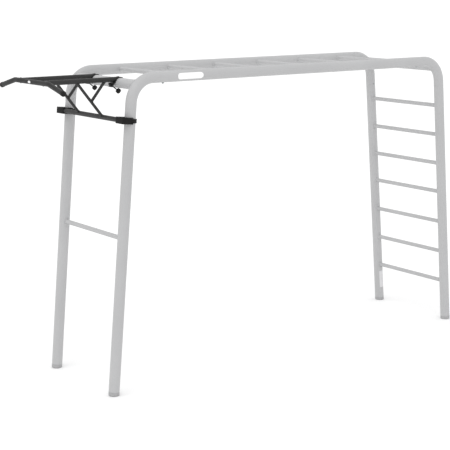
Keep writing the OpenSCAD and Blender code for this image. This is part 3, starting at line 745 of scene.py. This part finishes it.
# Glossy white ABS, injection moulded: smooth and bright, with a little flow haze.
white_abs, shader = new_material("injection_moulded_abs_white", Roughness=0.25, IOR=1.53)
place = add_node(white_abs, "ShaderNodeTexCoord", output="Object")
haze = add_node(
    white_abs, "ShaderNodeTexNoise", {"Vector": place, "Scale": 1 / (5 * MM), "Detail": 4})
share = add_node(
    white_abs, "ShaderNodeMapRange", {"Value": haze, "From Min": 0.3, "From Max": 0.7})
tone = add_node(
    white_abs, "ShaderNodeMix",
    {0: share, 6: linear("#F0F0F0"), 7: linear("#E6E6E7")}, output=2, data_type="RGBA")
gloss = add_node(
    white_abs, "ShaderNodeMapRange",
    {"Value": haze, "From Min": 0.3, "From Max": 0.7, "To Min": 0.2, "To Max": 0.32})
link(white_abs, shader, Base_Color=tone, Roughness=gloss)
BADGE_T = 1.2 * MM
badge = wrapped_label(
    length=32 * MM, height=16 * MM, corner=7.95 * MM,
    radius=bar_r + GLUE_FIT + BADGE_T / 2, thickness=BADGE_T)
badge.rotation_euler = (0, 0, -math.pi / 2)
badge.location = (grip_x, 0, bar_z)
eased(badge, 0.35 * MM, segments=2, degrees=50)
badge.name = "oval_badge"
finished(badge, white_abs, "frame", "white_badge", "grip_badge")

# ---------------------------------------------------------------- Clamp screws
# An M8 steel screw with a rolled 1.25 mm thread runs through each boss and the
# hook's leg, under the cross tube, and ends inside its hand knob.
# Black oxide on steel: a thin dark film, half metallic, rubbed brighter in patches.
black_oxide, shader = new_material("black_oxide_steel", Metallic=1.0, Roughness=0.4)
place = add_node(black_oxide, "ShaderNodeTexCoord", output="Object")
rubbed = add_node(
    black_oxide, "ShaderNodeTexNoise", {"Vector": place, "Scale": 1 / (4 * MM), "Detail": 4})
etch = add_node(
    black_oxide, "ShaderNodeTexNoise", {"Vector": place, "Scale": 1 / (0.6 * MM), "Detail": 2})
share = add_node(
    black_oxide, "ShaderNodeMapRange", {"Value": rubbed, "From Min": 0.4, "From Max": 0.75})
tone = add_node(
    black_oxide, "ShaderNodeMix",
    {0: share, 6: linear("#2E2E2F"), 7: linear("#4C4C4D")}, output=2, data_type="RGBA")
gloss = add_node(
    black_oxide, "ShaderNodeMapRange",
    {"Value": rubbed, "From Min": 0.3, "From Max": 0.7, "To Min": 0.36, "To Max": 0.5})
bump = add_node(black_oxide, "ShaderNodeBump", {"Height": etch, "Distance": 0.01 * MM})
link(black_oxide, shader, Base_Color=tone, Roughness=gloss, Normal=bump)
THREAD = 1.25 * MM
THREAD_DEEP = 0.77 * MM
POINT_R = SCREW_R - 1.2 * MM  # the chamfered ends' radius
ROWS_PER_TURN = 6
SCREW_BACK = hook_ir + 30 * MM
KNOB_FACE = hook_ir - 55.57 * MM
SCREW_END = KNOB_FACE - 16 * MM
for side_name, side in SIDES:
    length = SCREW_BACK - SCREW_END
    rows = int(length / THREAD * ROWS_PER_TURN)
    bpy.ops.object.select_all(action="DESELECT")
    bpy.ops.mesh.primitive_grid_add(x_subdivisions=rows, y_subdivisions=28, size=1)
    screw = bpy.context.object
    for vertex in screw.data.vertices:
        along = (vertex.co.x + 0.5) * length
        angle = (vertex.co.y + 0.5) * 2 * math.pi
        phase = (along / THREAD - angle / (2 * math.pi)) % 1
        # 0 on the thread's flat crest and 1 in its flat root, with straight flanks
        profile = min(max(abs(2 * phase - 1) * 1.3 - 0.15, 0), 1)
        from_end = min(along, length - along)
        radius = min(SCREW_R - THREAD_DEEP * profile, POINT_R + from_end)
        vertex.co = (
            SCREW_END + along, radius * math.cos(angle), SCREW_DOWN + radius * math.sin(angle))
    bpy.ops.object.mode_set(mode="EDIT")
    bpy.ops.mesh.select_all(action="SELECT")
    bpy.ops.mesh.remove_doubles(threshold=0.01 * MM)
    bpy.ops.mesh.fill_holes(sides=0)
    bpy.ops.mesh.select_all(action="SELECT")
    bpy.ops.mesh.normals_make_consistent(inside=False)
    bpy.ops.object.mode_set(mode="OBJECT")
    at_hook(screw, side)
    screw.name = f"threaded_screw_{side_name}"
    finished(
        screw, black_oxide, f"clamp_screw_{side_name}", "zinc_steel",
        f"clamp_screw_{side_name}")

# ---------------------------------------------------------------- Hand knobs
# Each clamp screw is turned by a six-lobed knob, injection moulded round the screw's
# end. Its rims are rounded and its face has a shallow round recess.
# Glass-filled nylon: near black, with a fine eroded grain and grey fibres in it.
nylon, shader = new_material(
    "injection_moulded_nylon_black", Roughness=0.5, IOR=1.53, Specular_IOR_Level=0.2)
place = add_node(nylon, "ShaderNodeTexCoord", output="Object")
grain = add_node(
    nylon, "ShaderNodeTexNoise", {"Vector": place, "Scale": 1 / (0.8 * MM), "Detail": 2})
spread = add_node(nylon, "ShaderNodeMapping", {"Vector": place, "Scale": (1, 1, 0.3)})
fibre = add_node(
    nylon, "ShaderNodeTexNoise", {"Vector": spread, "Scale": 1 / (4 * MM), "Detail": 4})
share = add_node(
    nylon, "ShaderNodeMapRange", {"Value": fibre, "From Min": 0.3, "From Max": 0.7, "To Max": 0.8})
tone = add_node(
    nylon, "ShaderNodeMix",
    {0: share, 6: linear("#0E0E0E"), 7: linear("#191919")}, output=2, data_type="RGBA")
gloss = add_node(
    nylon, "ShaderNodeMapRange",
    {"Value": grain, "From Min": 0.3, "From Max": 0.7, "To Min": 0.4, "To Max": 0.58})
bump = add_node(nylon, "ShaderNodeBump", {"Height": grain, "Distance": 0.05 * MM})
link(nylon, shader, Base_Color=tone, Roughness=gloss, Normal=bump)
KNOB_R = 17 * MM
KNOB_H = 20 * MM
LOBES = 6
SCALLOP_R = 7 * MM
SCALLOP_OUT = 21.5 * MM
RECESS_R = 9 * MM
RECESS_DEEP = 1 * MM
OVER_SCREW = 3.5 * MM  # left solid beyond the screw's end
for side_name, side in SIDES:
    bpy.ops.object.select_all(action="DESELECT")
    bpy.ops.mesh.primitive_cylinder_add(vertices=96, radius=KNOB_R, depth=KNOB_H)
    knob = bpy.context.object
    for i in range(LOBES):
        turn = math.radians((i + 0.5) * 360 / LOBES)
        bpy.ops.mesh.primitive_cylinder_add(
            vertices=48, radius=SCALLOP_R, depth=2 * KNOB_H,
            location=(SCALLOP_OUT * math.cos(turn), SCALLOP_OUT * math.sin(turn), 0))
        cut(knob, bpy.context.object)
    eased(knob, 2.0 * MM, segments=4, degrees=60)
    bpy.ops.mesh.primitive_cylinder_add(
        vertices=64, radius=RECESS_R, depth=2 * RECESS_DEEP, location=(0, 0, KNOB_H / 2))
    cut(knob, bpy.context.object)
    bpy.ops.mesh.primitive_cylinder_add(
        vertices=48, radius=TIGHT_BORE, depth=KNOB_H, location=(0, 0, -OVER_SCREW))
    cut(knob, bpy.context.object)
    eased(knob, 0.4 * MM, segments=2, degrees=70)
    knob.rotation_euler = (0, -math.pi / 2, 0)
    knob.location = (KNOB_FACE - KNOB_H / 2, 0, SCREW_DOWN)
    at_hook(knob, side)
    knob.name = f"lobed_knob_{side_name}"
    finished(knob, nylon, f"knob_{side_name}", "black_plastic", f"knob_{side_name}")

# ---------------------------------------------------------------- Saddle blocks
# A solid rubber block is pushed over each end of the stand-off bar. Its two horns
# bear on the leg, and are slotted for the ends of the strap.
# Compression-moulded rubber: charcoal black, quite matt, faintly bloomed and scuffed.
rubber, shader = new_material(
    "compression_moulded_rubber_black", Roughness=0.7, IOR=1.52, Specular_IOR_Level=0.2)
place = add_node(rubber, "ShaderNodeTexCoord", output="Object")
skin = add_node(
    rubber, "ShaderNodeTexNoise", {"Vector": place, "Scale": 1 / (1.5 * MM), "Detail": 3})
bloom = add_node(
    rubber, "ShaderNodeTexNoise",
    {"Vector": place, "Scale": 1 / (22 * MM), "Detail": 5, "Roughness": 0.7})
share = add_node(
    rubber, "ShaderNodeMapRange",
    {"Value": bloom, "From Min": 0.3, "From Max": 0.7, "To Max": 0.8})
tone = add_node(
    rubber, "ShaderNodeMix",
    {0: share, 6: linear("#121212"), 7: linear("#1E1E1E")}, output=2, data_type="RGBA")
gloss = add_node(
    rubber, "ShaderNodeMapRange",
    {"Value": bloom, "From Min": 0.3, "From Max": 0.7, "To Min": 0.62, "To Max": 0.82})
bump = add_node(rubber, "ShaderNodeBump", {"Height": skin, "Distance": 0.07 * MM})
bump = add_node(rubber, "ShaderNodeBump", {"Height": bloom, "Distance": 0.08 * MM, "Normal": bump})
link(rubber, shader, Base_Color=tone, Roughness=gloss, Normal=bump)
# Sizes go from the leg's axis: X along the frame, Y across it.
BLOCK_OUT = 86 * MM
BLOCK_IN = 4 * MM
BLOCK_W = 96 * MM
BLOCK_H = 44 * MM
BAR_OUT = 64 * MM  # the stand-off bar's axis
BAR_END = 30.5 * MM
PIN = (-10 * MM, 44 * MM)
PIN_BORE = 2.1 * MM
STRAP_H = 28 * MM
SLOT_FROM = 22 * MM
SLOT_W = 32 * MM
SLOT_H = STRAP_H + 1 * MM
BLOCK_X = standoff.x + BAR_OUT * math.cos(leg_lean)
BLOCK_Z = standoff.z - BAR_OUT * math.sin(leg_lean)


def at_block(piece, side):
    """Places a piece made round a leg's axis, with X along the frame, on a left leg."""
    only(piece)
    piece.scale = (1, side, 1)
    bpy.ops.object.transform_apply(location=True, rotation=True, scale=True)
    bpy.ops.object.mode_set(mode="EDIT")
    bpy.ops.mesh.select_all(action="SELECT")
    bpy.ops.mesh.normals_make_consistent(inside=False)
    bpy.ops.object.mode_set(mode="OBJECT")
    piece.rotation_euler = (0, leg_lean, 0)
    piece.location = (BLOCK_X, side * arch_y, BLOCK_Z)
    bpy.ops.object.transform_apply(location=True, rotation=True)


for side_name, side in SIDES:
    bpy.ops.object.select_all(action="DESELECT")
    bpy.ops.mesh.primitive_cube_add(size=1, location=(-(BLOCK_OUT + BLOCK_IN) / 2, 0, 0))
    block = bpy.context.object
    block.scale = (BLOCK_OUT - BLOCK_IN, BLOCK_W, BLOCK_H)
    bpy.ops.object.transform_apply(location=True, scale=True)
    upright = []
    for edge in block.data.edges:
        ends = [block.data.vertices[i].co for i in edge.vertices]
        if all(end.x < -0.9 * BLOCK_OUT for end in ends) and ends[0].y * ends[1].y > 0:
            upright.append(edge.index)
    picked(block, "EDGE", lambda edge: edge.index in upright)
    bpy.ops.mesh.bevel(offset=8 * MM, segments=8, affect="EDGES")
    bpy.ops.object.mode_set(mode="OBJECT")
    bpy.ops.mesh.primitive_cylinder_add(
        vertices=96, radius=tube_r + 0.3 * MM, depth=2 * BLOCK_H, location=(0, 0, 0))
    cut(block, bpy.context.object)
    for y in (-1, 1):
        bpy.ops.mesh.primitive_cube_add(size=1, location=(0, y * (SLOT_FROM + BLOCK_W / 2), 0))
        bpy.context.object.scale = (SLOT_W, BLOCK_W, SLOT_H)
        cut(block, bpy.context.object)
    bpy.ops.mesh.primitive_cylinder_add(
        vertices=64, radius=bar_r + GLUE_FIT, depth=BLOCK_W,
        location=(-BAR_OUT, BAR_END - BLOCK_W / 2, 0), rotation=(math.pi / 2, 0, 0))
    cut(block, bpy.context.object)
    eased(block, 1.5 * MM, segments=3, degrees=45)
    for y in (-1, 1):
        bpy.ops.mesh.primitive_cylinder_add(
            vertices=24, radius=PIN_BORE, depth=40 * MM, location=(PIN[0], y * PIN[1], 0))
        cut(block, bpy.context.object)
    at_block(block, side)
    block.name = f"moulded_block_{side_name}"
    finished(block, rubber, "frame", "black_rubber", f"saddle_block_{side_name}")

# ---------------------------------------------------------------- Leg straps
# A rubber strap runs round each leg from the block's outer pin to its inner one. It
# has a knuckle at each end, and a moulded rib stands up along both of its edges.
# Strap rubber: softer and smoother than the blocks', with fine lengthwise flow marks.
strap_rubber, shader = new_material(
    "injection_moulded_rubber_black", Roughness=0.6, IOR=1.52, Specular_IOR_Level=0.2)
place = add_node(strap_rubber, "ShaderNodeTexCoord", output="Object")
spread = add_node(strap_rubber, "ShaderNodeMapping", {"Vector": place, "Scale": (1, 1, 4)})
flow = add_node(
    strap_rubber, "ShaderNodeTexNoise", {"Vector": spread, "Scale": 1 / (6 * MM), "Detail": 3})
skin = add_node(
    strap_rubber, "ShaderNodeTexNoise", {"Vector": place, "Scale": 1 / (1.2 * MM), "Detail": 2})
share = add_node(
    strap_rubber, "ShaderNodeMapRange",
    {"Value": flow, "From Min": 0.3, "From Max": 0.7, "To Max": 0.8})
tone = add_node(
    strap_rubber, "ShaderNodeMix",
    {0: share, 6: linear("#101010"), 7: linear("#1A1A1A")}, output=2, data_type="RGBA")
gloss = add_node(
    strap_rubber, "ShaderNodeMapRange",
    {"Value": flow, "From Min": 0.3, "From Max": 0.7, "To Min": 0.5, "To Max": 0.7})
bump = add_node(strap_rubber, "ShaderNodeBump", {"Height": flow, "Distance": 0.06 * MM})
bump = add_node(
    strap_rubber, "ShaderNodeBump", {"Height": skin, "Distance": 0.05 * MM, "Normal": bump})
link(strap_rubber, shader, Base_Color=tone, Roughness=gloss, Normal=bump)
STRAP_IR = tube_r + 0.6 * MM
STRAP_T = 7 * MM
STRAP_SEED = 0.2 * MM  # a thin first slice, which both ends are spun from
SWEEP = math.radians(101.3)
RIB_W = 3.5 * MM
RIB_H = 0.9 * MM
KNUCKLE_R = 4 * MM
LOOSE_BORE = 2.6 * MM
FORK = (8 * MM, 4.6 * MM)
SWING_R = 83.5 * MM
RELIEF_FROM = 45 * MM
BIG = 100 * MM  # larger than the strap, for the boxes that trim the relief
for side_name, side in SIDES:
    bpy.ops.object.select_all(action="DESELECT")
    bpy.ops.mesh.primitive_cube_add(size=1, location=(STRAP_IR + STRAP_T / 2, 0, 0))
    strap = bpy.context.object
    strap.scale = (STRAP_T, STRAP_SEED, STRAP_H)
    bpy.ops.object.transform_apply(location=True, scale=True)
    for way in (-1, 1):
        picked(
            strap, "FACE",
            lambda face: face.normal.y * way > 0.9 and face.center.x > STRAP_IR)
        bpy.ops.mesh.spin(
            steps=30, angle=-way * SWEEP, center=(0, 0, 0), axis=(0, 0, 1),
            use_auto_merge=False)
        bpy.ops.object.mode_set(mode="OBJECT")
    # a ring cut into the outside leaves the two ribs standing
    bpy.ops.mesh.primitive_cylinder_add(
        vertices=128, radius=STRAP_IR + 2 * STRAP_T, depth=STRAP_H - 2 * RIB_W)
    ring = bpy.context.object
    bpy.ops.mesh.primitive_cylinder_add(
        vertices=128, radius=STRAP_IR + STRAP_T - RIB_H, depth=2 * STRAP_H)
    cut(ring, bpy.context.object)
    cut(strap, ring)
    eased(strap, 0.7 * MM, segments=2, degrees=50)
    # The far end's inside is relieved, so that it clears the leg as the strap opens:
    # what a disc round the hinge sweeps, far from the hinge and on one side only.
    bpy.ops.mesh.primitive_cylinder_add(vertices=128, radius=SWING_R, depth=2 * STRAP_H)
    relief = bpy.context.object
    bpy.ops.mesh.primitive_cube_add(size=1, location=(0, BIG / 2, 0))
    bpy.context.object.scale = (4 * BIG, BIG, 2 * BIG)
    cut(relief, bpy.context.object)
    bpy.ops.mesh.primitive_cube_add(size=1, location=(RELIEF_FROM - BIG, 0, 0))
    bpy.context.object.scale = (2 * BIG, 4 * BIG, 2 * BIG)
    cut(relief, bpy.context.object)
    relief.rotation_euler = (0, 0, -math.atan2(PIN[1], -PIN[0]))
    relief.location = (PIN[0], PIN[1], 0)
    cut(strap, relief)
    # the inner knuckle is open at its end, to push over its pin
    bpy.ops.mesh.primitive_cube_add(size=1, location=(PIN[0] - FORK[0] / 2, -PIN[1], 0))
    slot = bpy.context.object
    slot.scale = (FORK[0], FORK[1], 2 * STRAP_H)
    ends = []
    for y in (-1, 1):
        bpy.ops.mesh.primitive_cylinder_add(
            vertices=32, radius=KNUCKLE_R, depth=STRAP_H - 1 * MM,
            location=(PIN[0], y * PIN[1], 0))
        ends.append(bpy.context.object)
        eased(ends[-1], 0.6 * MM, segments=2, degrees=50)
        bpy.ops.mesh.primitive_cylinder_add(
            vertices=24, radius=PIN_BORE if y > 0 else LOOSE_BORE, depth=2 * STRAP_H,
            location=(PIN[0], y * PIN[1], 0))
        bore = bpy.context.object
        bpy.ops.object.duplicate()
        cut(strap, bpy.context.object)
        cut(ends[-1], bore)
    only(slot)
    bpy.ops.object.duplicate()
    cut(strap, bpy.context.object)
    cut(ends[0], slot)
    strap = joined(f"moulded_strap_{side_name}", [strap] + ends)
    at_block(strap, side)
    finished(strap, strap_rubber, f"strap_{side_name}", "strap_rubber", f"strap_{side_name}")
